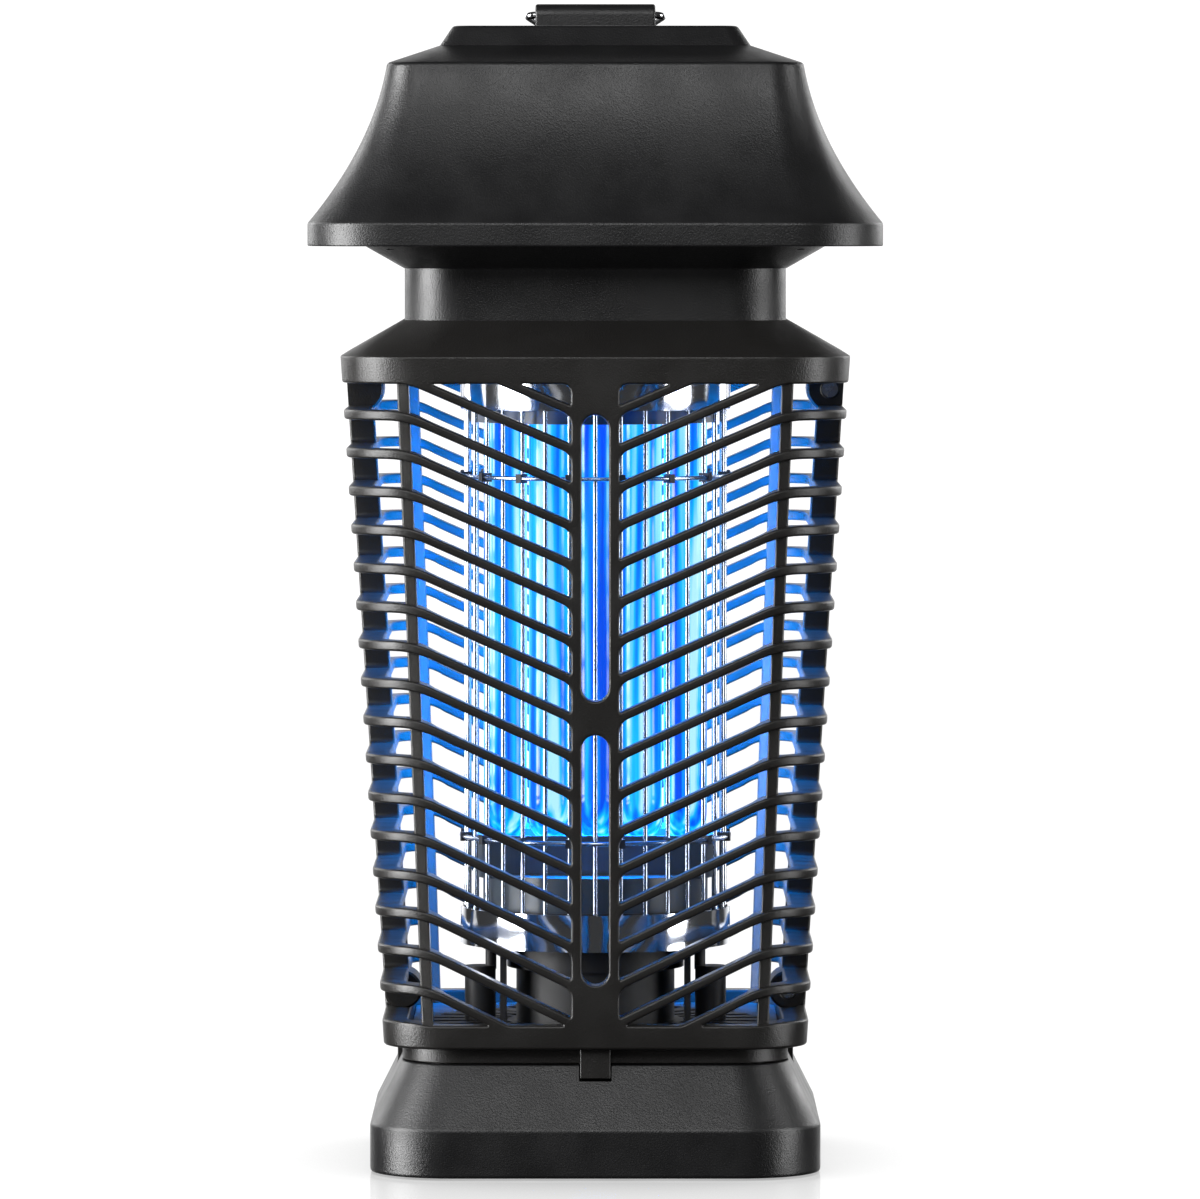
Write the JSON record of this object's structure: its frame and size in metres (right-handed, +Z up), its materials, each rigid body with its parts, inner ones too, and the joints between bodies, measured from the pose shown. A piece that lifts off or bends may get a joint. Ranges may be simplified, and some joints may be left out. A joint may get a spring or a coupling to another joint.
{
  "type": "electric bug zapper",
  "caption": "Lantern-shaped electric bug zapper: pagoda cap with folding wire bail, chevron-barred guard cage round a UV lamp and rod grid, pull-off square insect tray.",
  "frame": {"origin": "on the resting surface, under the centre of the object", "axes": "+Z up; the front, with one chevron face of the cage, looks along -Y; +X is to the right seen from the front"},
  "size_m": [0.1526, 0.1526, 0.313],
  "materials": {
    "housing_plastic": "fine-grained moulded black ABS",
    "cage_plastic": "fine-grained moulded charcoal ABS",
    "inner_plastic": "smooth moulded black plastic",
    "white_plastic": "white insulating plastic",
    "chrome_wire": "polished chrome wire",
    "grid_wire": "bright drawn steel wire",
    "reflector_metal": "polished aluminium sheet",
    "lamp_glass": "lit ultraviolet glass tube",
    "lamp_plastic": "dark blue-black lamp base",
    "brass_pins": "bright brass pins",
    "screw_steel": "blackened steel screws",
    "board": "green circuit board",
    "ferrite": "dark grey ferrite",
    "copper_winding": "enamelled copper winding",
    "capacitor_sleeve": "dark blue sleeve",
    "capacitor_disc": "blue dipped disc",
    "lead_insulation": "red silicone insulation",
    "soft_rubber": "black rubber"
  },
  "bodies": {
    "lantern": {"tray_collar": "cage_plastic", "cage_frame_front": "cage_plastic", "cage_frame_rear": "cage_plastic", "cage_bars_front": "cage_plastic", "cage_bars_right": "cage_plastic", "cage_bars_rear": "cage_plastic", "cage_bars_left": "cage_plastic", "cage_screws": "screw_steel", "floor_grille": "inner_plastic", "grid_base": "inner_plastic", "grid_pillars": "inner_plastic", "support_ribs": "inner_plastic", "grid_rods_live": "grid_wire", "grid_rods_ground": "grid_wire", "grid_ring_lower": "grid_wire", "grid_ring_upper": "grid_wire", "ring_clips_lower": "inner_plastic", "ring_clips_upper": "inner_plastic", "reflector_ring_lower": "reflector_metal", "reflector_ring_upper": "reflector_metal", "rod_plate_lower": "white_plastic", "rod_plate_upper": "white_plastic", "uv_tubes": "lamp_glass", "lamp_base": "lamp_plastic", "lamp_pins": "brass_pins", "lamp_end_holder": "lamp_plastic", "neck_housing": "housing_plastic", "lamp_socket": "white_plastic", "socket_screws": "screw_steel", "cord_gland": "soft_rubber", "driver_board": "board", "board_screws": "screw_steel", "transformer_core": "ferrite", "transformer_winding": "copper_winding", "ballast_choke": "copper_winding", "electrolytic_capacitors": "capacitor_sleeve", "disc_capacitors": "capacitor_disc", "high_voltage_leads": "lead_insulation", "cap_shell": "housing_plastic", "cap_underside": "housing_plastic", "cap_screws": "screw_steel", "hanger_plate": "housing_plastic", "hanger_screws": "screw_steel"},
    "bail": {"hanging_bail": "chrome_wire"},
    "tray": {"collection_tray": "housing_plastic", "rubber_feet": "soft_rubber"}
  },
  "joints": [
    {"name": "bail_swing", "type": "hinge", "parent": "lantern", "child": "bail", "pos_m": [0, 0, 0.31], "axis": [1, 0, 0], "range_deg": [0, 190]},
    {"name": "tray_drop", "type": "slide", "parent": "lantern", "child": "tray", "axis": [0, 0, -1], "range_m": [0, 0.045]}
  ]
}
